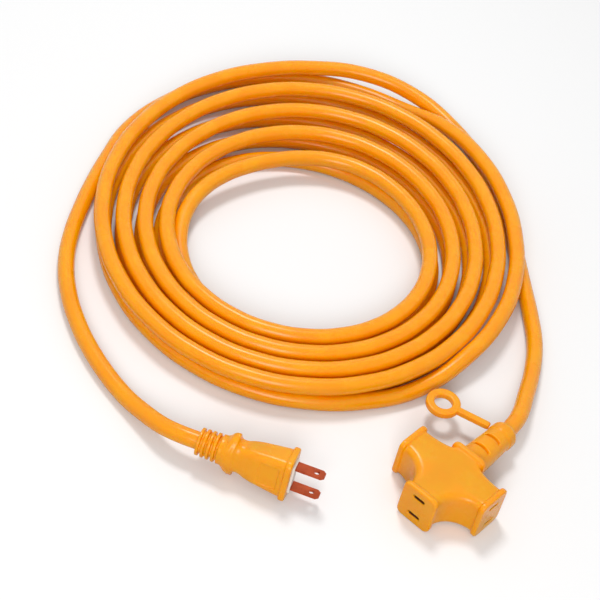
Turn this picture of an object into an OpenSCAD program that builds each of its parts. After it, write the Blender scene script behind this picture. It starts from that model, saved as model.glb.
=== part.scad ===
// Rubber extension cord: a two-blade plug, a wound cord and a three-way tap with a hanging ring.
// Millimetres, +Z up. The origin is the middle of the tap's flat underside. The tap's front
// outlet faces -Y, its side outlets face -X and +X, and the cord leaves it towards +Y.

/* [Cord] */
// Outer diameter of the sheath
cord_d = 9.4; // [8.8:0.1:9.4]
// Diameter of one insulated core
core_d = 3; // [2.4:0.1:3.2]
// Diameter of the bare copper of one core
copper_d = 1.8; // [1.4:0.1:2]
// Distance between the middles of the two cores
core_pitch = 3.6; // [3.4:0.1:4]

/* [Coil] */
// Whole turns and the last part turn, in 24ths of a turn
coil_steps = 226; // [222:1:230]
// Radius of the inner edge of the coil, to the middle of the cord
coil_inner_r = 73; // [73:1:76]
// Half the length of the outer edge of the coil
coil_outer_a = 146; // [146:1:150]
// Half the width of the outer edge of the coil
coil_outer_b = 129; // [129:1:132]
// Height between the lower and the upper layer of turns
layer_rise = 9.9; // [9.9:0.1:11]

/* [Blades] */
// Distance between the middles of the two blades
blade_pitch = 12.7; // [12.5:0.1:12.9]
// Width of a blade
blade_w = 6.3; // [6:0.1:6.5]
// Thickness of a blade
blade_t = 1.5; // [1.3:0.1:1.6]
// Length of a blade outside the plug's face
blade_len = 16; // [15:0.5:19]
// Diameter of the hole near a blade's tip
blade_hole_d = 3; // [2.5:0.1:3.5]
// Distance of the hole from the tip
blade_hole_in = 4.5; // [4:0.1:5.5]

/* [Plug] */
// Length of the ribbed strain relief
relief_len = 13; // [12:0.5:15]
// Diameter of the strain relief's rings at the cord
relief_d = 14.6; // [14:0.1:15]
// Diameter of the strain relief's rings at the body
relief_front_d = 15.6; // [15:0.1:16.5]
// Diameter of the relief's core between its rings
relief_core_d = 11.6; // [11.6:0.1:12.6]
// Number of rings on the strain relief
relief_rings = 5; // [4:1:6]
// Width of one ring
relief_ring_w = 1.5; // [1.2:0.1:1.7]
// Length of the grip from the strain relief to the front flange
grip_len = 34; // [32:0.5:36]
// Span of the finger wings
wing_span = 26.4; // [25:0.1:26.6]
// Thickness of the finger wings
wing_t = 17; // [16:0.1:18]
// Width of the waist behind the flange
waist_w = 17.4; // [17:0.1:19]
// Width of the grip at the flange
shoulder_w = 23; // [22:0.1:24]
// Thickness of the grip
grip_t = 15.4; // [15:0.1:17]
// Width of the front flange
flange_w = 25; // [24.4:0.1:25.2]
// Thickness of the front flange, across the blades' width
flange_t = 19; // [18:0.1:20]
// Corner radius of the front flange
flange_r = 4; // [3:0.1:5]
// Edge rounding of the front flange
flange_edge = 0.9; // [0.6:0.1:1.2]
// Depth of the flange along the plug
flange_depth = 3.4; // [3:0.1:4]
// Width of the insert that holds the blades
insert_w = 16.4; // [16.2:0.1:18]
// Thickness of the insert
insert_t = 8.4; // [8:0.1:10]
// Length of the insert inside the body
insert_depth = 9; // [8:0.5:11]
// Height of the insert above the flange's face
insert_proud = 1; // [0.6:0.1:2.4]
// Depth of the bare panel on each broad side of the grip
panel_depth = 0.5; // [0.2:0.1:0.6]
// Length of the panel
panel_len = 10.5; // [9:0.5:14]
// Width of the panel
panel_w = 13; // [11:0.5:14]

/* [Tap] */
// Distance of a side outlet's face from the middle
side_reach = 28; // [27:0.5:31]
// Distance of the front outlet's face from the middle
front_reach = 27; // [26.5:0.5:30]
// Distance of the neck flange's outer face from the middle
neck_reach = 15.6; // [15.4:0.2:18]
// Width of an outlet flange
outlet_w = 21; // [20.6:0.2:23]
// Height of an outlet flange above the arms
outlet_lip = 1.2; // [1:0.1:2]
// Thickness of an outlet flange
outlet_t = 3.2; // [2.8:0.1:3.6]
// Corner radius of an outlet flange
outlet_r = 3.6; // [3:0.1:4.5]
// Edge rounding of an outlet flange
outlet_edge = 0.9; // [0.6:0.1:1.2]
// Half the width of an arm where it meets its flange
arm_half = 9.2; // [9.1:0.1:9.6]
// Rubber over the carrier
top_wall = 1.6; // [1.4:0.1:2]
// Rubber under the carrier
floor_wall = 2.65; // [2.4:0.05:2.8]
// Height of the arms' underside above the table
arm_lift = 0.5; // [0.3:0.1:0.7]
// Extra height in the middle of the body
crown = 0.7; // [0.2:0.1:0.9]
// Edge rounding of the body
body_r = 3.6; // [3:0.1:4]
// Length of a slot
slot_len = 7.3; // [7:0.1:7.8]
// Height of a slot
slot_h = 2; // [1.9:0.1:2.2]
// Length of the neck from its flange to its end
neck_len = 35; // [34:0.5:38]
// Diameter of the neck at its flange
neck_root_d = 17.2; // [16.6:0.1:17.6]
// Diameter of the neck near its end
neck_end_d = 14.6; // [14:0.1:15]
// Depth of the two curved grooves on the neck
neck_groove = 1.2; // [0.8:0.1:1.3]

/* [Inner carrier] */
// Half the width of the carrier's arms
carrier_half = 6.6; // [6.4:0.1:6.8]
// Plastic over and under the contacts
carrier_skin = 0.5; // [0.4:0.1:0.7]
// Thickness of the divider between the two poles
divider_t = 2; // [1.6:0.1:2.4]
// Thickness of the bus strips
bus_t = 0.8; // [0.6:0.1:1]
// Width of the bus strips
bus_w = 5; // [4:0.2:5.4]
// Thickness of a contact spring
leaf_t = 0.5; // [0.4:0.05:0.6]
// Width of a contact spring
leaf_w = 6; // [5.4:0.1:6.2]
// Length of a contact spring
leaf_len = 13; // [12:0.5:13.5]

/* [Hanging ring] */
// Outer diameter of the ring
ring_d = 19; // [18:0.5:21]
// Diameter of the ring's hole
ring_hole_d = 10; // [9:0.5:11]
// Thickness of the ring
ring_t = 4; // [3.4:0.1:4.6]
// Length of the strap from its root to the ring's middle
strap_len = 26; // [25:0.5:30]
// Width of the strap
strap_w = 3.6; // [3:0.1:4.4]
// Thickness of the strap
strap_t = 3; // [2.4:0.1:3.4]
// Height of the strap above the table
strap_z = 12; // [11:0.1:13]
// Distance of the strap's root from the neck's end
strap_in = 4.6; // [4:0.1:5]
// Rounding of the ring's edges
ring_edge = 1; // [0.8:0.1:1.2]
// Turn of the strap away from square to the neck
strap_turn = 15; // [10:1:20]

/* [Fits] */
// Gap between a moulded body and what it is moulded round
mould_gap = 0.1; // [0.05:0.05:0.15]
// Gap round the metal parts in their pockets
metal_gap = 0.1; // [0.05:0.05:0.15]
// Gap between the strap's root and the neck
strap_gap = 0.3; // [0.2:0.05:0.5]

/* [Hidden] */

sheath_orange = [0.95, 0.55, 0.1];
round_fn = 48;
cut = 1; // how far a cutting shape runs past a face

// ---- the coil: one tube that spirals in on the table and out again on top of itself
coil_start = 193;          // angle where the plug's lead joins
coil_inner_at = [-168, 73];
coil_outer_at = [-180, 91];
coil_long_axis = 123;      // direction of the outer edge's length
per_turn = 24;
lower_z = cord_d / 2;
step_in = 0.2;             // share of the coil's width that a lower turn moves in
step_out = 0.245;          // and that an upper turn moves out
lower_lean = 0.16;         // the lower turns lie further in on the far side
lower_lean_in = 3;         // number of turns over which that grows
upper_from = -0.08;
upper_lean = 0.05;         // the upper turns lie in a rounder loop than the lower ones
upper_lean_at = 115;
climb_turn = 4.8;          // turn at which the cord climbs to the upper layer
climb_len = 0.25;
reverse_turn = 4.95;
reverse_len = 0.3;
drop_turn = 9.2;           // turn at which the last stretch comes down outside the first
drop_len = 0.14;

function ease(x) = let (c = min(1, max(0, x))) c * c * (3 - 2 * c);
function swell(u, at, reach, flat = 0) = ease((reach - abs(u - at)) / (reach - flat));
function mix(a, b, k) = a + (b - a) * k;
function unit(v) = v / norm(v);

function coil_angle(u) = coil_start - 360 * u;
function coil_share(u) =
    let (upper = upper_from + step_out * (u - 5) + upper_lean * cos(2 * (coil_angle(u) - upper_lean_at)),
         lower = 1 - step_in * u
             - lower_lean * ease(u / lower_lean_in) * (1 + cos(coil_angle(u) - coil_long_axis)) / 2)
    mix(lower, upper, ease((u - reverse_turn) / reverse_len))
        + 0.08 * swell(u, 0.53, 0.14) + 0.1 * swell(u, 9.26, 0.13);
function coil_z(u) = lower_z + layer_rise * (ease((u - climb_turn) / climb_len)
    + swell(u, 0.43, 0.17, 0.08) - ease((u - drop_turn) / drop_len));
function turned(v, a) = [v.x * cos(a) - v.y * sin(a), v.x * sin(a) + v.y * cos(a)];
function coil_point(u) =
    let (a = coil_angle(u), q = a - coil_long_axis,
         inside = coil_inner_at + coil_inner_r * [cos(a), sin(a)],
         outside = coil_outer_at + turned([coil_outer_a * cos(q), coil_outer_b * sin(q)], coil_long_axis),
         p = mix(inside, outside, coil_share(u)))
    [p.x, p.y, coil_z(u)];

coil_turns = coil_steps / per_turn;
nudge = 0.002;
coil_in_dir = unit(coil_point(nudge) - coil_point(0));
coil_out_dir = unit(coil_point(coil_turns) - coil_point(coil_turns - nudge));
coil_first = coil_point(0) - cord_d * coil_in_dir;
coil_last = coil_point(coil_turns) + cord_d * coil_out_dir;
coil_line = concat([coil_first], [for (i = [0 : coil_steps]) coil_point(i / per_turn)], [coil_last]);

// ---- where the plug lies: its own X runs along the plug to the blades, Z from blade to blade
plug_at = [-100.05, -81.65, 13];
plug_yaw = 23.7;
plug_pitch = 0.8;
plug_lean = -11;
plug_dir = [cos(plug_yaw) * cos(plug_pitch), sin(plug_yaw) * cos(plug_pitch), sin(plug_pitch)];
grip_from = relief_len;
flange_from = relief_len + grip_len;
plug_face = flange_from + flange_depth;

// ---- heights in the tap, all worked out from the blades' spacing
chamber_up = 2.5; // room above and below the middle of a contact
carrier_h = blade_pitch + 2 * (chamber_up + carrier_skin);
slot_mid_z = floor_wall + carrier_h / 2;
arm_h = slot_mid_z + carrier_h / 2 + top_wall;
outlet_h = arm_h + outlet_lip;
pad_r = 7; // flat round pad under the middle of the tap

// ---- the free stretches, point by point, along the middle of the cord
lead_straight = 8;
plug_route = [plug_at, plug_at - lead_straight * plug_dir, [-117.4, -87.2, 11.4], [-125, -87.2, 9.4],
    [-135.4, -86.4, 7.2], [-145.8, -85.4, 5.4], [-156, -83.9, 4.7], [-166, -82, 4.7],
    [-187, -76, 4.7], [-207, -67.5, 4.7],
    [-226, -56.5, 4.7], [-244, -42, 4.7], [-259, -25, 4.7], [-272, -6, 4.7], [-284, 14, 4.7],
    [-295, 35, 4.7], coil_first];
neck_end = neck_reach + neck_len;
neck_z = slot_mid_z;
tap_route = [coil_last, [-65, 156.9, 4.7], [-48, 140.6, 4.7], [-32, 123, 5], [-20, 104, 6],
    [-10.5, 84, 8.5], [-2.5, 65, 11], [0, neck_end, neck_z]];
lead_sides = 10;
coil_sides = 6;

// ---- sweeps
function cross_unit(a, b) = unit(cross(a, b));
function tube_dirs(line, first, last) = [for (i = [0 : len(line) - 1])
    i == 0 ? first : i == len(line) - 1 ? last : unit(line[i + 1] - line[i - 1])];
// The skin over a row of rings that run anticlockwise when seen from the last of them
module skin(rings) {
    n = len(rings[0]);
    m = len(rings);
    polyhedron([for (r = rings) each r], concat(
        [[for (k = [0 : n - 1]) k]],
        [for (i = [0 : m - 2]) for (k = [0 : n - 1])
            let (a = i * n + k, b = i * n + (k + 1) % n)
            each [[a, a + n, b], [b, a + n, b + n]]],
        [[for (k = [n - 1 : -1 : 0]) (m - 1) * n + k]]));
}
module tube(line, first, last, d, sides) {
    dirs = tube_dirs(line, first, last);
    skin([for (i = [0 : len(line) - 1])
        let (side = cross_unit(dirs[i], [0, 0, 1]), up = cross(side, dirs[i]))
        [for (k = [0 : sides - 1])
            let (a = 360 * (k + 0.5) / sides) line[i] + d / 2 * (cos(a) * side - sin(a) * up)]]);
}
// The coil's least gap to itself, measured between points more than half a turn apart
coil_gap = min([for (i = [0 : 2 : coil_steps]) for (j = [i + per_turn / 2 : coil_steps])
    norm(coil_point(i / per_turn) - coil_point(j / per_turn))]) - cord_d;
function path_length(line) = [for (i = 0, s = 0; i < len(line);
    s = s + (i + 1 < len(line) ? norm(line[i + 1] - line[i]) : 0), i = i + 1) s][len(line) - 1];
echo(coil_gap = coil_gap, cord_length = path_length(coil_line) + path_length(plug_route)
    + path_length(tap_route));

module in_plug() {
    translate(plug_at) rotate([0, 0, plug_yaw]) rotate([0, -plug_pitch, 0]) rotate([plug_lean, 0, 0])
        children();
}
// A bar along X whose ends are at x0 and x1, with rounded long edges; y is t wide and z is w high
module rounded_plate(x0, x1, t, w, r) {
    translate([x0, 0, 0]) rotate([90, 0, 90]) linear_extrude(x1 - x0) rounded_rect(t, w, r);
}
module rounded_rect(w, h, r) {
    square([w - 2 * r, h], center = true);
    square([w, h - 2 * r], center = true);
    for (x = [-1, 1], y = [-1, 1]) translate([x * (w / 2 - r), y * (h / 2 - r)]) circle(r, $fn = round_fn);
}
module box(low, high) { translate(low) cube(high - low); }
// A plate d deep along X from the origin, t wide in y and w high in z, with corners of radius r
// and all edges rounded by e
corner_parts = 6;
function plate_ring(x, t, w, r) = [for (q = [0 : 3]) for (k = [0 : corner_parts])
    let (a = 90 * q + 90 * k / corner_parts,
         sy = q == 0 || q == 3 ? 1 : -1, sz = q < 2 ? 1 : -1)
    [x, sy * (t / 2 - r) + r * cos(a), sz * (w / 2 - r) + r * sin(a)]];
module soft_plate(d, t, w, r, e) {
    turn = [for (i = [0 : 3]) [e * (1 - sin(30 * i)), e * (1 - cos(30 * i))]];
    skin(concat([for (p = turn) plate_ring(p[1], t - 2 * p[0], w - 2 * p[0], r - p[0])],
        [for (p = reversed(turn)) plate_ring(d - p[1], t - 2 * p[0], w - 2 * p[0], r - p[0])]));
}

// ---- plug
// Half width, half thickness and squareness of the grip at a share of its length
crimp_d = 3.8;
wire_room = 0.3;  // free room round the crimps and the cores
shell = 0.9;      // least rubber beside the crimps
wires_half = blade_pitch / 2 + crimp_d / 2 + wire_room;
grip_form = [
    [0, relief_front_d / 2 - 0.3, relief_front_d / 2 - 0.3, 2],
    [0.04, 0.66 * wing_span / 2, 0.96 * wing_t / 2, 2],
    [0.08, 0.86 * wing_span / 2, wing_t / 2, 1.9],
    [0.12, 0.95 * wing_span / 2, wing_t / 2, 1.8],
    [0.155, wing_span / 2, 0.99 * wing_t / 2, 1.6],
    [0.18, 0.97 * wing_span / 2, 0.96 * wing_t / 2, 1.8],
    [0.195, 0.86 * wing_span / 2, 0.92 * wing_t / 2, 1.9],
    [0.225, 0.71 * wing_span / 2, 0.94 * grip_t / 2, 2.4],
    [0.28, waist_w / 2, 0.93 * grip_t / 2, 2.8],
    [0.34, waist_w / 2, 0.94 * grip_t / 2, 3.2],
    [0.41, wires_half + shell, 0.96 * grip_t / 2, 3.6],
    [0.55, mix(wires_half + shell, shoulder_w / 2, 0.3), grip_t / 2, 4],
    [0.75, mix(wires_half + shell, shoulder_w / 2, 0.7), grip_t / 2 + 0.2, 4.4],
    [0.94, shoulder_w / 2, grip_t / 2 + 0.5, 5],
    [1, flange_w / 2 - flange_edge - 0.15, flange_t / 2 - flange_edge - 0.15, 5],
    [1 + flange_depth / grip_len / 2, flange_w / 2 - 2 * flange_edge, flange_t / 2 - 2 * flange_edge, 5]];
grip_sides = 32;
function sign_pow(x, n) = sign(x) * pow(abs(x), n);
function grip_ring(s) = [for (k = [0 : grip_sides - 1])
    let (a = 360 * (k + 0.5) / grip_sides)
    [grip_from + s[0] * grip_len, s[2] * sign_pow(cos(a), 2 / s[3]), s[1] * sign_pow(sin(a), 2 / s[3])]];
core_split = 5; // length over which the cores spread from the sheath to their crimps
plug_sheath_len = relief_len + 2;
plug_crimp_from = plug_face - insert_depth - 7;
crimp_len = 6;
plug_wires_from = grip_from + 0.4 * grip_len; // the room grows wider from here
panel_from = 2.5;                          // distance of the panel from the flange
module plug_body() {
    color(sheath_orange) in_plug() difference() {
        union() {
            skin([for (s = grip_form) grip_ring(s)]);
            rotate([0, 90, 0]) cylinder(relief_len + cut, d = relief_core_d, $fn = round_fn);
            ring_pitch = (relief_len - relief_ring_w) / (relief_rings - 1);
            for (i = [0 : relief_rings - 1]) translate([i * ring_pitch, 0, 0]) rotate([0, 90, 0])
                cylinder(relief_ring_w + (i == relief_rings - 1 ? cut : 0),
                    d = mix(relief_d, relief_front_d, i / (relief_rings - 1)), $fn = round_fn);
            translate([flange_from, 0, 0])
                soft_plate(flange_depth, flange_t, flange_w, flange_r, flange_edge);
        }
        translate([-cut, 0, 0]) rotate([0, 90, 0])
            cylinder(plug_sheath_len + cut, d = cord_d + 2 * mould_gap, $fn = round_fn);
        box([plug_sheath_len - 0.01, -core_d / 2 - wire_room, -core_pitch / 2 - core_d / 2 - 2 * wire_room],
            [plug_wires_from + 0.01, core_d / 2 + wire_room, core_pitch / 2 + core_d / 2 + 2 * wire_room]);
        box([plug_wires_from, -blade_w / 2 - wire_room, -wires_half],
            [plug_face - insert_depth + 0.01, blade_w / 2 + wire_room, wires_half]);
        box([plug_face - insert_depth - mould_gap, -insert_t / 2 - mould_gap, -insert_w / 2 - mould_gap],
            [plug_face + cut, insert_t / 2 + mould_gap, insert_w / 2 + mould_gap]);
        for (s = [0, 180]) rotate([s, 0, 0])
            box([flange_from - panel_from - panel_len, grip_t / 2 - panel_depth, -panel_w / 2],
                [flange_from - panel_from, grip_t, panel_w / 2]);
    }
}
module plug_insert() {
    color("white") in_plug() difference() {
        box([plug_face - insert_depth, -insert_t / 2, -insert_w / 2],
            [plug_face + insert_proud, insert_t / 2, insert_w / 2]);
        for (s = [-1, 1]) translate([0, 0, s * blade_pitch / 2])
            box([plug_face - insert_depth - cut, -blade_w / 2 - metal_gap, -blade_t / 2 - metal_gap],
                [plug_face + insert_proud + cut, blade_w / 2 + metal_gap, blade_t / 2 + metal_gap]);
    }
}
module plug_blade(side) {
    tip = plug_face + blade_len;
    nose = 1.6;
    color("goldenrod") in_plug() translate([0, 0, side * blade_pitch / 2]) difference() {
        union() {
            translate([0, 0, -blade_t / 2]) linear_extrude(blade_t) polygon([
                [plug_crimp_from + crimp_len, -blade_w / 2], [tip - nose, -blade_w / 2],
                [tip, -blade_w / 2 + nose], [tip, blade_w / 2 - nose],
                [tip - nose, blade_w / 2], [plug_crimp_from + crimp_len, blade_w / 2]]);
            translate([plug_crimp_from, 0, 0]) rotate([0, 90, 0])
                cylinder(crimp_len + 0.4, d = crimp_d, $fn = round_fn);
        }
        translate([plug_crimp_from - cut, 0, 0]) rotate([0, 90, 0])
            cylinder(crimp_len - 1 + cut, d = copper_d + 2 * metal_gap, $fn = round_fn);
        translate([tip - blade_hole_in, 0, -blade_t])
            cylinder(2 * blade_t, d = blade_hole_d, $fn = round_fn);
    }
}
module plug_blade_live() { plug_blade(1); }
module plug_blade_neutral() { plug_blade(-1); }
// The sheath's last stretch, moulded into a body, with two holes for the cores
module sheath_end(len) {
    difference() {
        rotate([0, 90, 0]) cylinder(len, d = cord_d, $fn = round_fn);
        for (s = [-1, 1]) translate([-cut, 0, s * core_pitch / 2]) rotate([0, 90, 0])
            cylinder(len + 2 * cut, d = core_d + 2 * metal_gap, $fn = round_fn);
    }
}
module plug_sheath_end() { color("orange") in_plug() sheath_end(plug_sheath_len); }
// One core from the sheath's end to a crimp: straight, then out at a slant, then straight
function core_line(x0, x1, z0, z1, y1) =
    [[x0, 0, z0], [x1 - core_split - 1, 0, z0], [x1 - 1, y1, z1], [x1, y1, z1]];
core_from = 2; // the cores start this far inside the sheath's end
module core(x0, x1, z0, z1, y1 = 0) {
    tube(core_line(x0, x1, z0, z1, y1), [1, 0, 0], [1, 0, 0], core_d, 12);
}
plug_core_end = plug_crimp_from - 1;
module plug_core_live() {
    color("black") in_plug() core(core_from, plug_core_end, core_pitch / 2, blade_pitch / 2);
}
module plug_core_neutral() {
    color("white") in_plug() core(core_from, plug_core_end, -core_pitch / 2, -blade_pitch / 2);
}
module plug_copper() {
    color("chocolate") in_plug() for (s = [-1, 1]) translate([plug_core_end, 0, s * blade_pitch / 2])
        rotate([0, 90, 0]) cylinder(crimp_len, d = copper_d, $fn = round_fn);
}

// ---- free cord
module cord_plug_lead() {
    color(sheath_orange) tube(plug_route, -plug_dir, coil_in_dir, cord_d, lead_sides);
}
module cord_coil() {
    color(sheath_orange) tube(coil_line, coil_in_dir, coil_out_dir, cord_d, coil_sides);
}
module cord_tap_lead() {
    color(sheath_orange) tube(tap_route, coil_out_dir, [0, -1, 0], cord_d, lead_sides);
}

// ---- tap
arm_x = side_reach - outlet_t;
arm_front = front_reach - outlet_t;
arm_back = neck_reach - outlet_t;
corner_steps = 9;
// One hollow corner of the cross, drawn in by d, from the arm along X to the arm along Y
function hollow(sx, sy, ey, d) = [for (i = [0 : corner_steps])
    let (a = 90 * i / corner_steps)
    [sx * (arm_x - (arm_x - arm_half + d) * sin(a)), sy * (ey - (ey - arm_half + d) * cos(a))]];
function reversed(v) = [for (i = [len(v) - 1 : -1 : 0]) v[i]];
function cross_outline(d) = concat(hollow(1, 1, arm_back, d), reversed(hollow(-1, 1, arm_back, d)),
    hollow(-1, -1, arm_front, d), reversed(hollow(1, -1, arm_front, d)));
edge_steps = 4;
edge = [for (i = [0 : edge_steps]) let (a = 90 * i / edge_steps)
    body_r * [1 - sin(a), 1 - cos(a)]];
function at_height(outline, z) = [for (p = outline) [p.x, p.y, z]];
function shrunk(outline, k) = [for (p = outline) k * p];
inner_rings = [0.8, 0.55, 0.3, 0.06];
module tap_cross() {
    under = [for (k = reversed(inner_rings))
        at_height(shrunk(cross_outline(body_r), k), arm_lift * (1 - 0.3 * (1 - k * k)))];
    low = [for (e = edge) at_height(cross_outline(e[0]), arm_lift + e[1])];
    high = [for (e = reversed(edge)) at_height(cross_outline(e[0]), arm_h - e[1])];
    top = [for (k = inner_rings) at_height(shrunk(cross_outline(body_r), k), arm_h + crown * (1 - k * k))];
    skin(concat(under, low, high, top));
    cylinder(arm_lift + cut, r = pad_r, $fn = round_fn);
}
// Puts what is drawn for an outlet that faces +X at one of the three outlets
outlets = [["left", 180, side_reach], ["right", 0, side_reach], ["front", -90, front_reach]];
module at_outlet(which) {
    o = outlets[which];
    rotate([0, 0, o[1]]) translate([o[2], 0, 0]) children();
}
module flange() {
    translate([-outlet_t, 0, outlet_h / 2]) soft_plate(outlet_t, outlet_w, outlet_h, outlet_r, outlet_edge);
}
pole_z = blade_pitch / 2;
carrier_low = floor_wall;
carrier_high = slot_mid_z + carrier_h / 2;
carrier_x = arm_x - 0.4;
carrier_front = arm_front - 0.4;
carrier_back = arm_back - 1.4;
// The carrier's outline, grown by g, between two heights
module carrier_block(g, z0, z1) {
    box([-carrier_x - g, -carrier_half - g, z0], [carrier_x + g, carrier_half + g, z1]);
    box([-carrier_half - g, -carrier_front - g, z0], [carrier_half + g, carrier_back + g, z1]);
}
crimp_room = 6.2;
core_room_d = 12.4;
crimp_room_to = neck_reach - 0.6;
wide_room_to = neck_reach + 2; // the room round the cores narrows from here to the sheath
sheath_in = 12;                // the sheath starts this far along the neck
tap_sheath_from = neck_reach + sheath_in;
collar_len = 8;                // length of the thicker end of the neck
collar_rise = 0.5;
neck_form = [[0, neck_root_d / 2 + 1.2], [0.5, neck_root_d / 2 + 0.5], [1.4, neck_root_d / 2],
    [neck_len - collar_len, neck_end_d / 2], [neck_len - collar_len + 0.6, neck_end_d / 2 + collar_rise],
    [neck_len - 2.4, neck_end_d / 2 + 0.6 * collar_rise], [neck_len - 0.8, neck_end_d / 2 - 0.6],
    [neck_len, neck_end_d / 2 - 1.6]];
groove_at = [9, 19];
groove_w = 1.8;
groove_span = 80;
function neck_r(y) = mix(neck_root_d, neck_end_d, y / (neck_len - collar_len)) / 2;
module along_neck() { translate([0, neck_reach, neck_z]) rotate([-90, 0, 0]) children(); }
module tap_body() {
    color(sheath_orange) difference() {
        union() {
            tap_cross();
            for (i = [0 : 2]) at_outlet(i) flange();
            rotate([0, 0, 90]) translate([neck_reach, 0, 0]) flange();
            along_neck() rotate_extrude($fn = 2 * round_fn) polygon(concat([[0, 0]],
                [for (p = neck_form) [p[1], p[0]]], [[0, neck_len]]));
        }
        carrier_block(mould_gap, carrier_low - mould_gap, carrier_high + mould_gap);
        box([-crimp_room, 0, neck_z - crimp_room], [crimp_room, crimp_room_to, neck_z + crimp_room]);
        translate([0, crimp_room_to - cut, neck_z]) rotate([-90, 0, 0])
            cylinder(wide_room_to - crimp_room_to + cut, d = core_room_d, $fn = round_fn);
        translate([0, wide_room_to - 0.01, neck_z]) rotate([-90, 0, 0])
            cylinder(tap_sheath_from - wide_room_to + 0.02, d1 = core_room_d, d2 = cord_d, $fn = round_fn);
        translate([0, tap_sheath_from, neck_z]) rotate([-90, 0, 0])
            cylinder(neck_len, d = cord_d + 2 * mould_gap, $fn = round_fn);
        for (i = [0 : 2], s = [-1, 1]) at_outlet(i)
            box([-outlet_t - cut, -slot_len / 2, slot_mid_z + s * pole_z - slot_h / 2],
                [cut, slot_len / 2, slot_mid_z + s * pole_z + slot_h / 2]);
        for (y = groove_at) along_neck() translate([0, 0, y]) rotate([0, 0, -90 - groove_span / 2])
            rotate_extrude(angle = groove_span, $fn = 2 * round_fn) translate([neck_r(y) - neck_groove, 0])
                square([3, groove_w]);
    }
}

// Pockets for one pole: three contact chambers, the bus and its tail. up is +1 for the upper pole
chamber_len = 15;
chamber_half = 3.6;
bus_face = 1.7; // distance of the bus's near face from the middle of its contacts
tail_x = 1;     // the crimps stand this far to each side of the middle
tail_w = 3;
module pole_pockets(up) {
    z = slot_mid_z + up * pole_z;
    inner = slot_mid_z + up * divider_t / 2;
    far = z + up * chamber_up;
    z0 = min(inner, far);
    z1 = max(inner, far);
    for (i = [0 : 2]) at_outlet(i) box([-outlet_t - 0.4 - chamber_len, -chamber_half, z0],
        [-outlet_t + cut, chamber_half, z1]);
    box([-carrier_x + cut, -bus_w / 2 - metal_gap, z0], [carrier_x - cut, bus_w / 2 + metal_gap, z1]);
    box([-bus_w / 2 - metal_gap, -carrier_front + cut, z0], [bus_w / 2 + metal_gap, bus_w, z1]);
    box([up * tail_x - tail_w / 2 - metal_gap, 0, z0],
        [up * tail_x + tail_w / 2 + metal_gap, carrier_back + cut, z1]);
}
module tap_carrier_base() {
    color("gainsboro") difference() {
        carrier_block(0, carrier_low, slot_mid_z - divider_t / 2);
        pole_pockets(-1);
    }
}
module tap_carrier_divider() {
    color("gainsboro") carrier_block(0, slot_mid_z - divider_t / 2, slot_mid_z + divider_t / 2);
}
module tap_carrier_cover() {
    color("gainsboro") difference() {
        carrier_block(0, slot_mid_z + divider_t / 2, carrier_high);
        pole_pockets(1);
    }
}
module bus(up) {
    z = slot_mid_z + up * (pole_z - bus_face);
    low = min(z, z - up * bus_t);
    high = max(z, z - up * bus_t);
    crimp_at = carrier_back + 0.4;
    color("gold") difference() {
        union() {
            box([-carrier_x + 2, -bus_w / 2, low], [carrier_x - 2, bus_w / 2, high]);
            box([-bus_w / 2, -carrier_front + 2, low], [bus_w / 2, 0, high]);
            box([up * tail_x - tail_w / 2, 0, low], [up * tail_x + tail_w / 2, crimp_at + 0.2, high]);
            translate([up * tail_x, crimp_at, (low + high) / 2]) rotate([-90, 0, 0])
                cylinder(4, d = tap_crimp_d, $fn = round_fn);
        }
        translate([up * tail_x, crimp_at + 0.6, (low + high) / 2]) rotate([-90, 0, 0])
            cylinder(4, d = copper_d + 2 * metal_gap, $fn = round_fn);
    }
}
tap_crimp_d = 3;
module tap_bus_live() { bus(1); }
module tap_bus_neutral() { bus(-1); }
// A folded spring that grips a blade between two bowed leaves, drawn for an outlet facing +X
module contact(which, up) {
    tip = -outlet_t - 1;
    back = tip - leaf_len;
    mouth = blade_t / 2 + 0.6;
    pinch = blade_t / 2 - 0.1;
    wide = bus_face - leaf_t - metal_gap;
    color("khaki") at_outlet(which) translate([0, leaf_w / 2, slot_mid_z + up * pole_z])
        rotate([90, 0, 0]) linear_extrude(leaf_w) polygon(concat(
            [[tip, mouth], [tip - 3, pinch], [back + 3, wide], [back + leaf_t, wide],
             [back + leaf_t, -wide], [back + 3, -wide], [tip - 3, -pinch], [tip, -mouth]],
            [[tip, -mouth - leaf_t], [tip - 3, -pinch - leaf_t], [back + 3, -wide - leaf_t],
             [back, -wide - leaf_t], [back, wide + leaf_t], [back + 3, wide + leaf_t],
             [tip - 3, pinch + leaf_t], [tip, mouth + leaf_t]]));
}
module contact_left_live() { contact(0, 1); }
module contact_left_neutral() { contact(0, -1); }
module contact_right_live() { contact(1, 1); }
module contact_right_neutral() { contact(1, -1); }
module contact_front_live() { contact(2, 1); }
module contact_front_neutral() { contact(2, -1); }

module tap_sheath_end() {
    color("orange") translate([0, neck_end, neck_z]) rotate([0, 0, -90])
        sheath_end(neck_end - tap_sheath_from);
}
tap_core_gap = 4.8; // from the carrier to the cores' ends
module tap_core(up) {
    z = pole_z - bus_face - bus_t / 2;
    translate([0, neck_end, neck_z]) rotate([0, 0, -90])
        core(core_from, neck_end - carrier_back - tap_core_gap, up * core_pitch / 2, up * z, up * tail_x);
}
module tap_core_live() { color("black") tap_core(1); }
module tap_core_neutral() { color("white") tap_core(-1); }
module tap_copper() {
    z = pole_z - bus_face - bus_t / 2;
    color("chocolate") for (up = [-1, 1])
        translate([up * tail_x, carrier_back + 1.2, neck_z + up * z]) rotate([-90, 0, 0])
            cylinder(3.6, d = copper_d, $fn = round_fn);
}

// ---- hanging ring
strap_half = strap_t / 2 * cos(strap_turn) + strap_w / 2 * sin(strap_turn);
strap_root = [-(neck_end_d / 2 + collar_rise + strap_gap + strap_half), neck_end - strap_in, strap_z];
ring_turn = [for (i = [0 : 4]) let (a = 22.5 * i) ring_edge * [1 - sin(a), 1 - cos(a)]];
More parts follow.
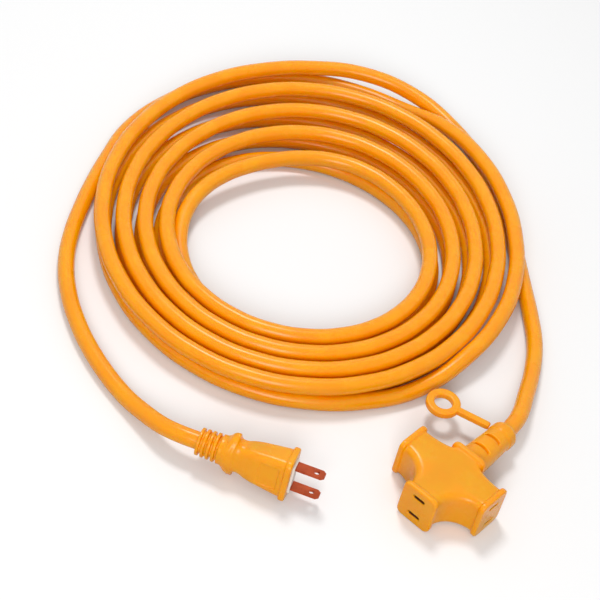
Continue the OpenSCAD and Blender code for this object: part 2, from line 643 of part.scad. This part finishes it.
// The ring's section: a straight wall in the hole and four rounded edges
ring_section = concat(
    [for (p = ring_turn) [ring_hole_d / 2 + p[1], -ring_t / 2 + p[0]]],
    [for (p = ring_turn) [ring_d / 2 - p[0], -ring_t / 2 + p[1]]],
    [for (p = ring_turn) [ring_d / 2 - p[1], ring_t / 2 - p[0]]],
    [for (p = ring_turn) [ring_hole_d / 2 + p[0], ring_t / 2 - p[1]]]);
module hanging_ring() {
    color(sheath_orange) translate(strap_root) rotate([0, 0, 180 + strap_turn]) difference() {
        union() {
            rotate([90, 0, 0]) cylinder(strap_w, d = strap_t, center = true, $fn = round_fn);
            box([0, -strap_w / 2, -strap_t / 2], [strap_len - ring_d / 2 + 1, strap_w / 2, strap_t / 2]);
            translate([strap_len, 0, 0]) rotate_extrude($fn = 2 * round_fn) polygon(ring_section);
        }
    }
}

plug_body();
plug_insert();
plug_blade_live();
plug_blade_neutral();
plug_sheath_end();
plug_core_live();
plug_core_neutral();
plug_copper();
cord_plug_lead();
cord_coil();
cord_tap_lead();
tap_body();
tap_carrier_base();
tap_carrier_divider();
tap_carrier_cover();
tap_bus_live();
tap_bus_neutral();
contact_front_live();
contact_front_neutral();
contact_left_live();
contact_left_neutral();
contact_right_live();
contact_right_neutral();
tap_sheath_end();
tap_core_live();
tap_core_neutral();
tap_copper();
hanging_ring();
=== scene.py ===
import math

import bmesh
import bpy
from mathutils import Matrix, Vector


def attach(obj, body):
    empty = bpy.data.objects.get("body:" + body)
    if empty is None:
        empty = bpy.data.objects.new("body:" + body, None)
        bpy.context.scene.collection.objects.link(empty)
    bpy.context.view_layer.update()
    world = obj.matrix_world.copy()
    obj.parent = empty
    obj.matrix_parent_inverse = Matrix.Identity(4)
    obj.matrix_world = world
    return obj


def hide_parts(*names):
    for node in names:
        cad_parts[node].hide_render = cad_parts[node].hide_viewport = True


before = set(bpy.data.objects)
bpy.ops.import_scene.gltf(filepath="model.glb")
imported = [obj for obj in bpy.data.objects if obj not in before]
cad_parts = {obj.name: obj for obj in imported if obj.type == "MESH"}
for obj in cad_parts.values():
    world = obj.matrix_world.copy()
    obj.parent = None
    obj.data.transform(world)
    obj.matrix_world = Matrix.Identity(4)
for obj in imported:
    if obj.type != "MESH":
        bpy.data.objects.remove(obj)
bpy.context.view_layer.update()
mm = 0.001  # places and sizes below are in millimetres and degrees
rootBody = "cord_set"
ringBody = "hanging_ring"
print("frame loaded")


class Value:  # wraps a socket so that shader maths reads as maths
    def __init__(self, shader, socket):
        self.shader = shader
        self.socket = socket

    def maths(self, operation, *others):
        return self.shader.add("ShaderNodeMath", {"operation": operation}, [self, *others])

    def __add__(self, other): return self.maths("ADD", other)
    def __radd__(self, other): return self.maths("ADD", other)
    def __mul__(self, other): return self.maths("MULTIPLY", other)
    def __rmul__(self, other): return self.maths("MULTIPLY", other)
    def clamped(self): return self.shader.add("ShaderNodeClamp", {}, [self])


class Shader:  # the nodes of one material, or of the sky, and the node that they feed
    def __init__(self, owner, surface, **fixed):
        owner.use_nodes = True
        self.tree = owner.node_tree
        self.surface = self.tree.nodes[surface]
        for socket, value in fixed.items():
            self.surface.inputs[socket.replace("_", " ")].default_value = value

    def add(self, kind, settings, inputs, output=0):
        node = self.tree.nodes.new(kind)
        for name, value in settings.items():
            setattr(node, name, value)
        pairs = inputs.items() if isinstance(inputs, dict) else enumerate(inputs)
        for key, value in pairs:
            if isinstance(value, Value):
                self.tree.links.new(value.socket, node.inputs[key])
            else:
                node.inputs[key].default_value = value
        return Value(self, node.outputs[output])

    def link(self, value, socket):
        self.tree.links.new(value.socket, self.surface.inputs[socket])

    def noise(self, scale, detail=3, roughness=0.5, stretch=None):
        where = self.add("ShaderNodeTexCoord", {}, {}, "Object")
        if stretch:
            where = self.add("ShaderNodeMapping", {}, {"Vector": where, "Scale": stretch})
        sockets = {"Vector": where, "Scale": scale, "Detail": detail, "Roughness": roughness}
        return self.add("ShaderNodeTexNoise", {}, sockets)

    def blend(self, mask, low, high):
        return self.add("ShaderNodeMix", {"data_type": "RGBA"}, {0: mask, 6: low, 7: high}, 2)

    def bump(self, height, strength, distance):
        sockets = {"Height": height, "Strength": strength, "Distance": distance}
        self.link(self.add("ShaderNodeBump", {}, sockets), "Normal")

    def whereSeen(self):  # 1 where it is seen, straight, in gloss or through, and 0 where it only lights
        camera, glossy, through = (self.add("ShaderNodeLightPath", {}, {}, f"Is {kind} Ray")
            for kind in ("Camera", "Glossy", "Transmission"))
        return camera.maths("MAXIMUM", glossy).maths("MAXIMUM", through)


def spread(value, low, high):  # a noise value kept between two limits
    return value * (high - low) + low


def colour(red, green, blue):  # written 0 to 255 as seen, used linear
    def linear(part):
        part = part / 255
        return part / 12.92 if part <= 0.04045 else ((part + 0.055) / 1.055) ** 2.4
    return (linear(red), linear(green), linear(blue), 1)


# Patterns are scaled to the metre; bump is a strength and a depth in metres
rubberFinish = {"light": colour(250, 169, 0), "deep": colour(247, 152, 0), "mottle": 55,
    "contrast": (-0.2, 1.2), "grain": 2600, "gloss": (0.2, 0.3), "glossGrain": 0.04,
    "bumpGrain": 0.4, "bump": (0.18, 0.00012)}
metalFinish = {"streaks": 300, "stretch": (0.25, 1, 1), "wear": 120, "contrast": (-0.5, 1.5),
    "bump": (0.15, 0.00005)}
plasticFinish = {"mottle": 90, "grain": 1800, "bump": (0.12, 0.00008)}


def makeOrangeRubber():
    finish = rubberFinish
    material = bpy.data.materials.new("orangeRubber")
    rubber = Shader(material, "Principled BSDF", Specular_IOR_Level=0.32, Subsurface_Weight=0.6,
        Subsurface_Scale=0.004, Subsurface_Radius=(1, 0.16, 0.03))
    cloud = rubber.noise(finish["mottle"], 4)
    grain = rubber.noise(finish["grain"], 2)
    mottle = spread(cloud, *finish["contrast"]).clamped()
    rubber.link(rubber.blend(mottle, finish["deep"], finish["light"]), "Base Color")
    rubber.link(spread(cloud, *finish["gloss"]) + grain * finish["glossGrain"], "Roughness")
    rubber.bump(grain * finish["bumpGrain"] + cloud, *finish["bump"])
    return material


def makeMetal(name, bright, dull, gloss):
    material = bpy.data.materials.new(name)
    metal = Shader(material, "Principled BSDF", Metallic=1)
    streaks = metal.noise(metalFinish["streaks"], 3, 0.6, metalFinish["stretch"])
    wear = metal.noise(metalFinish["wear"], 5, 0.6)
    patches = spread(wear, *metalFinish["contrast"]).clamped()
    metal.link(metal.blend(patches, dull, bright), "Base Color")
    metal.link(spread(streaks, *gloss), "Roughness")
    metal.bump(streaks, *metalFinish["bump"])
    return material


def makePlastic(name, light, deep, gloss):
    material = bpy.data.materials.new(name)
    plastic = Shader(material, "Principled BSDF", Specular_IOR_Level=0.45)
    cloud = plastic.noise(plasticFinish["mottle"], 4)
    plastic.link(plastic.blend(cloud, deep, light), "Base Color")
    plastic.link(spread(cloud, *gloss), "Roughness")
    plastic.bump(plastic.noise(plasticFinish["grain"], 2), *plasticFinish["bump"])
    return material


orangeRubber = makeOrangeRubber()
copperBlade = makeMetal("copperBlade", colour(196, 92, 56), colour(152, 62, 36), (0.22, 0.4))
wireCopper = makeMetal("wireCopper", colour(225, 130, 90), colour(180, 90, 60), (0.2, 0.4))
springBronze = makeMetal("springBronze", colour(215, 180, 120), colour(170, 130, 80), (0.2, 0.4))
stripBrass = makeMetal("stripBrass", colour(225, 195, 120), colour(180, 145, 80), (0.2, 0.4))
whitePlastic = makePlastic("whitePlastic", colour(240, 240, 236), colour(228, 228, 222), (0.35, 0.5))
# Painted shade: the tap carrier's plastic and the slot sheets are painted dark red-brown, the colour of the
# shade inside the tap's slots
slotShadePlastic = makePlastic("slotShadePlastic", colour(104, 50, 26), colour(76, 34, 18), (0.45, 0.6))
blackInsulation = makePlastic("blackInsulation", colour(40, 40, 42), colour(28, 28, 30), (0.4, 0.55))
whiteInsulation = makePlastic("whiteInsulation", colour(230, 230, 228), colour(214, 214, 212), (0.4, 0.55))

finishOf = {  # by how a piece's name begins; the rest is orange rubber
    "plug_insert": whitePlastic, "plug_blade": copperBlade, "plug_copper": wireCopper,
    "plug_core_live": blackInsulation, "plug_core_neutral": whiteInsulation,
    "tap_core_live": blackInsulation, "tap_core_neutral": whiteInsulation,
    "tap_copper": wireCopper, "tap_bus": stripBrass, "tap_carrier": slotShadePlastic, "contact": springBronze,
}
for name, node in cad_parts.items():
    finishes = [finish for start, finish in finishOf.items() if name.startswith(start)]
    node.data.materials.clear()
    node.data.materials.append(finishes[0] if finishes else orangeRubber)
print("materials made")


def addObject(name, data):
    made = bpy.data.objects.new(name, data)
    bpy.context.scene.collection.objects.link(made)
    return made


def addBox(shape, place, sides):  # a box of these sides, in millimetres, centred on place
    scale = Matrix.Diagonal((*[side * mm for side in sides], 1))
    return bmesh.ops.create_cube(shape, size=1, matrix=place @ scale)["verts"]


def finishMesh(shape, name, material):
    mesh = bpy.data.meshes.new(name)
    shape.to_mesh(mesh)
    shape.free()
    mesh.materials.append(material)
    return mesh


# The cord is one sheath from the tap's neck, round the coil, to the plug. The coil is counted in
# turns from the plug's end: it spirals in on the table, climbs, turns back and spirals out on top.
# Its place in a turn is a share of the way from the inner circle (0) to the outer oval (1).
sheath = {
    "diameter": 9.4, "roundness": 5, "turnSteps": 24, "steps": 226,
    "startAngle": 193, "innerAt": (-168, 73), "innerRadius": 73,
    "outerAt": (-180, 91), "outerLong": 146, "outerWide": 129, "longAxis": 123,
    "layerRise": 9.9,
    "stepIn": 0.2, "lowerLean": 0.0915, "leanIn": 3.249,
    "stepOut": 0.2359, "upperFrom": -0.0534, "upperLean": 0.0366, "leanAt": 111.5,
    "climb": (4.8, 0.25), "reverse": (4.95, 0.3), "drop": (9.2, 0.14),  # from, over
    "hump": (0.415, 0.18, 0.1),  # where the first turn steps over the last: at, reach, flat
    "sidesteps": ((0.0572, 0.53, 0.14), (0.0839, 9.26, 0.13)),  # outwards, at, reach
}
plug = {"at": Vector((-100.05, -81.65, 13)), "yaw": 23.7, "pitch": 0.8, "lean": -11, "straight": 8}
neckEnd = Vector((0, 50.6, 12))

# Points laid: from the plug to the coil, and from the coil to the tap
plugRoute = [
    (-117.4, -87.2, 11.4), (-125, -87.2, 9.4), (-135.4, -86.4, 7.2), (-145.8, -85.4, 5.4),
    (-156, -83.9, 4.7), (-166, -82, 4.7), (-187, -76, 4.7), (-207, -67.5, 4.7), (-226, -56.5, 4.7),
    (-244, -42, 4.7), (-259, -25, 4.7), (-272, -6, 4.7), (-284, 14, 4.7), (-295, 35, 4.7)]
tapRoute = [
    (-65, 156.9, 4.7), (-48, 140.6, 4.7), (-32, 123, 5), (-20, 104, 6), (-10.5, 84, 8.5), (-2.5, 65, 11)]


def ease(x):
    x = min(1, max(0, x))
    return x * x * (3 - 2 * x)


def step(u, start, over):
    return ease((u - start) / over)


def swell(u, at, reach, flat=0):
    return ease((reach - abs(u - at)) / (reach - flat))


def onOval(centre, longHalf, wideHalf, turn, angle):
    q = math.radians(angle - turn)
    t = math.radians(turn)
    x, y = longHalf * math.cos(q), wideHalf * math.sin(q)
    across = centre[0] + x * math.cos(t) - y * math.sin(t)
    along = centre[1] + x * math.sin(t) + y * math.cos(t)
    return Vector((across, along))


def coilPoint(u):
    angle = sheath["startAngle"] - 360 * u
    sag = (1 + math.cos(math.radians(angle - sheath["longAxis"]))) / 2
    lower = 1 - sheath["stepIn"] * u - sheath["lowerLean"] * ease(u / sheath["leanIn"]) * sag
    lean = math.cos(2 * math.radians(angle - sheath["leanAt"]))
    upper = sheath["upperFrom"] + sheath["stepOut"] * (u - 5) + sheath["upperLean"] * lean
    share = lower + (upper - lower) * step(u, *sheath["reverse"])
    share += sum(push * swell(u, at, reach) for push, at, reach in sheath["sidesteps"])
    rise = step(u, *sheath["climb"]) + swell(u, *sheath["hump"]) - step(u, *sheath["drop"])
    inside = onOval(sheath["innerAt"], sheath["innerRadius"], sheath["innerRadius"], 0, angle)
    outside = onOval(sheath["outerAt"], sheath["outerLong"], sheath["outerWide"], sheath["longAxis"], angle)
    flat = inside.lerp(outside, share)
    return Vector((flat.x, flat.y, sheath["diameter"] / 2 + sheath["layerRise"] * rise))


def plugDirection():
    yaw, pitch = math.radians(plug["yaw"]), math.radians(plug["pitch"])
    return Vector((math.cos(yaw) * math.cos(pitch), math.sin(yaw) * math.cos(pitch), math.sin(pitch)))


def cordRoute():  # from the neck to the plug
    coil = [coilPoint(i / sheath["turnSteps"]) for i in range(sheath["steps"] + 1)]
    nearPlug = [plug["at"] - plug["straight"] * plugDirection(), plug["at"]]
    route = [neckEnd, *reversed([Vector(p) for p in tapRoute]), *reversed(coil)]
    route += [*reversed([Vector(p) for p in plugRoute]), *nearPlug]
    return [p * mm for p in route]


def makeCord():
    route = cordRoute()
    curve = bpy.data.curves.new("cordSheath", "CURVE")
    curve.dimensions = "3D"
    curve.bevel_depth = sheath["diameter"] / 2 * mm
    curve.bevel_resolution = sheath["roundness"]
    curve.resolution_u = sheath["roundness"]
    curve.use_fill_caps = True
    spline = curve.splines.new("BEZIER")
    spline.bezier_points.add(len(route) - 1)
    for knot, place in zip(spline.bezier_points, route):
        knot.co = place
        knot.handle_left_type = knot.handle_right_type = "AUTO"
    curve.materials.append(orangeRubber)
    return addObject("cord_sheath", curve)


cordSheath = makeCord()
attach(cordSheath, rootBody)
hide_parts("cord_plug_lead", "cord_coil", "cord_tap_lead")
print("cord laid")


# The tap, the plug and the ring are merged copies of their CAD pieces, reshaped a little in their
# first mesh and then softened by a fine grid.
tapTop = {"armTop": 22.95, "armEnd": 23.5, "armFront": -22.5, "armBack": 11.5, "keptCrown": 0.15}
grooves = {"axisHeight": 12, "at": ((24.4, 26.6), (34.4, 36.6)), "floorRadius": (6.3, 7.6), "cut": 0.9}
grip = {
    "waistAt": 23.5, "waistReach": 8, "waistPinch": 0.12,
    "wingFrom": 13.5, "wingTo": 21.5, "wingRoot": 8, "thickness": 1.25,
    "wingDraw": 0.42, "drawFrom": 14.6, "drawOver": 3.7, "wingLean": 0.15, "wingThin": 0.05,
}
relief = {"rings": 5, "ringWidth": 1.5, "length": 13, "coreRadius": 5.6,
    "barRadius": 6.4, "barWidth": 2.2, "barsRound": 4}


def levelTop(shape):  # the middle of the tap is nearly flat on top
    for corner in shape.verts:
        x, y, z = corner.co / mm
        inside = abs(x) < tapTop["armEnd"] and tapTop["armFront"] < y < tapTop["armBack"]
        if inside and z > tapTop["armTop"]:
            corner.co.z = (tapTop["armTop"] + (z - tapTop["armTop"]) * tapTop["keptCrown"]) * mm


def deepenGrooves(shape):  # the floors of the neck's two grooves sink towards its axis
    lowest, highest = grooves["floorRadius"]
    for corner in shape.verts:
        x, y, z = corner.co / mm
        across = Vector((x, z - grooves["axisHeight"]))
        if any(a < y < b for a, b in grooves["at"]) and lowest < across.length < highest:
            across *= 1 - grooves["cut"] / across.length
            corner.co = Vector((across.x, y, grooves["axisHeight"] + across.y)) * mm


def plugPlace():
    yaw, pitch, lean = (math.radians(plug[key]) for key in ("yaw", "pitch", "lean"))
    place = Matrix.Translation(plug["at"] * mm) @ Matrix.Rotation(yaw, 4, "Z")
    return place @ Matrix.Rotation(-pitch, 4, "Y") @ Matrix.Rotation(lean, 4, "X")


def drawGrip(shape):  # a slimmer waist, and wings that run out to an edge
    place = plugPlace()
    back = place.inverted()
    for corner in shape.verts:
        x, y, z = (back @ corner.co) / mm
        y *= 1 - grip["waistPinch"] * swell(x, grip["waistAt"], grip["waistReach"])
        if grip["wingFrom"] < x < grip["wingTo"]:
            over = max(0, abs(y) - grip["wingRoot"])
            flare = max(0, math.hypot(y, grip["thickness"] * z) - grip["wingRoot"])
            draw = grip["wingDraw"] * over * step(x, grip["drawFrom"], grip["drawOver"])
            y += math.copysign(draw, y)
            x += grip["wingLean"] * flare
            z *= 1 - grip["wingThin"] * over
        corner.co = place @ (Vector((x, y, z)) * mm)


def addReliefBars(shape):  # short bars that bridge the gaps between the strain relief's rings
    pitch = (relief["length"] - relief["ringWidth"]) / (relief["rings"] - 1)
    middle = (relief["coreRadius"] + relief["barRadius"]) / 2
    sides = (pitch, relief["barRadius"] - relief["coreRadius"], relief["barWidth"])
    for gap in range(relief["rings"] - 1):
        along = (gap + 0.5) * pitch + relief["ringWidth"] / 2
        for bar in range(relief["barsRound"]):
            turn = math.tau * (bar + 0.5 * (gap % 2)) / relief["barsRound"]
            spot = Matrix.Rotation(turn, 4, "X") @ Matrix.Translation(Vector((along, middle, 0)) * mm)
            addBox(shape, plugPlace() @ spot, sides)


mouldings = {
    "tap_body": {"name": "tap_moulding", "body": rootBody, "grid": 0.43, "passes": 2,
        "details": (levelTop, deepenGrooves)},
    "plug_body": {"name": "plug_moulding", "body": rootBody, "grid": 0.33, "passes": 2,
        "details": (drawGrip, addReliefBars)},
    "hanging_ring": {"name": "ring_moulding", "body": ringBody, "grid": 0.25, "passes": 4, "details": ()},
}
softening = {"mergeWithin": 0.002, "relaxFactor": 0.5}


def softCopy(source, moulding):
    shape = bmesh.new()
    shape.from_mesh(source.data)
    shape.transform(source.matrix_world)
    bmesh.ops.remove_doubles(shape, verts=shape.verts, dist=softening["mergeWithin"] * mm)
    for detail in moulding["details"]:
        detail(shape)
    piece = addObject(moulding["name"], finishMesh(shape, moulding["name"], orangeRubber))
    block = piece.modifiers.new("grid", "REMESH")
    block.mode = "VOXEL"
    block.voxel_size = moulding["grid"] * mm
    block.use_smooth_shade = True
    relax = piece.modifiers.new("relax", "SMOOTH")
    relax.factor = softening["relaxFactor"]
    relax.iterations = moulding["passes"]
    return piece


for source, moulding in mouldings.items():
    soft = softCopy(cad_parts[source], moulding)
    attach(soft, moulding["body"])
    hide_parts(source)
    moulding["made"] = soft
print("mouldings softened")



# Painted shade: dark sheets in the colour of the shade in the slots stand a little behind the rubber's face
# inside the outlets' slots. Each outlet is a turn and a reach from the middle of the tap.
shadeSheet = {"outlets": ((180, 28), (0, 28), (-90, 27)), "middle": 12, "poleUp": 6.35,
    "behind": 0.6, "deep": 3, "long": 7.7, "high": 2.4, "wall": 0.32}


def makeSlotShadeSheets():
    shape = bmesh.new()
    sides = (shadeSheet["deep"], shadeSheet["long"], shadeSheet["high"])
    ends = []
    for turn, reach in shadeSheet["outlets"]:
        towards = Matrix.Rotation(math.radians(turn), 4, "Z")
        inwards = reach - shadeSheet["behind"] - shadeSheet["deep"] / 2
        for up in (-1, 1):
            middle = Vector((inwards, 0, shadeSheet["middle"] + up * shadeSheet["poleUp"]))
            corners = addBox(shape, towards @ Matrix.Translation(middle * mm), sides)
            shape.normal_update()
            walls = {face for corner in corners for face in corner.link_faces}
            ends += [face for face in walls if abs(face.normal.dot(towards @ Vector((1, 0, 0)))) > 0.9]
    bmesh.ops.delete(shape, geom=ends, context="FACES_ONLY")  # each painted-shade sheet is open at both ends
    bmesh.ops.recalc_face_normals(shape, faces=shape.faces)
    bmesh.ops.solidify(shape, geom=shape.faces[:], thickness=shadeSheet["wall"] * mm)
    return addObject("slot_shade_sheets", finishMesh(shape, "slot_shade_sheets", slotShadePlastic))


slotShadeSheets = makeSlotShadeSheets()
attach(slotShadeSheets, rootBody)
print("slots lined")


# Floor, light and camera, in metres
studio = {
    "floorHalf": 3, "paperLit": colour(165, 165, 165), "paperSeen": colour(246, 246, 246), "sky": 0.5,
    "aim": (-0.12, 0.05, 0),
    "lamps": {"key": {"place": (-0.5, 0.3, 1.1), "size": 0.32, "power": 5.6},
        "fill": {"place": (0.5, -0.95, 0.75), "size": 0.6, "power": 8.6}},
}
eye = {"place": (0.2134, -0.5039, 0.6326), "turn": 33, "tip": 46, "roll": 13.5, "lens": 96, "sensor": 36,
    "near": 0.02}


def makeFloor():
    shape = bmesh.new()
    bmesh.ops.create_grid(shape, x_segments=1, y_segments=1, size=studio["floorHalf"])
    material = bpy.data.materials.new("floorPaper")
    paper = Shader(material, "Principled BSDF", Roughness=0.9, Specular_IOR_Level=0.1)
    paper.link(paper.blend(paper.whereSeen(), studio["paperLit"], studio["paperSeen"]), "Base Color")
    addObject("floor", finishMesh(shape, "floor", material))


def makeSky():  # full white where it is seen, softer where it lights the object
    world = bpy.data.worlds.new("sky")
    bpy.context.scene.world = world
    air = Shader(world, "Background", Color=(1, 1, 1, 1))
    air.link(air.whereSeen().maths("MAXIMUM", studio["sky"]), "Strength")


def makeLamp(name, lamp):
    light = bpy.data.lights.new(name, "AREA")
    light.shape = "DISK"
    light.size = lamp["size"]
    light.energy = lamp["power"]
    stand = addObject(name, light)
    stand.location = lamp["place"]
    sight = Vector(studio["aim"]) - Vector(lamp["place"])
    stand.rotation_euler = sight.to_track_quat("-Z", "Y").to_euler()


def makeCamera():
    lens = bpy.data.cameras.new("camera")
    lens.lens = eye["lens"]
    lens.sensor_width = eye["sensor"]
    lens.clip_start = eye["near"]
    camera = addObject("camera", lens)
    turn, tip, roll = (math.radians(eye[key]) for key in ("turn", "tip", "roll"))
    aim = Matrix.Rotation(turn, 4, "Z") @ Matrix.Rotation(tip, 4, "X") @ Matrix.Rotation(roll, 4, "Z")
    camera.matrix_world = Matrix.Translation(eye["place"]) @ aim
    bpy.context.scene.camera = camera


makeFloor()
makeSky()
for name, lamp in studio["lamps"].items():
    makeLamp(name, lamp)
makeCamera()
bpy.context.scene.view_settings.view_transform = "Standard"

print("scene made")
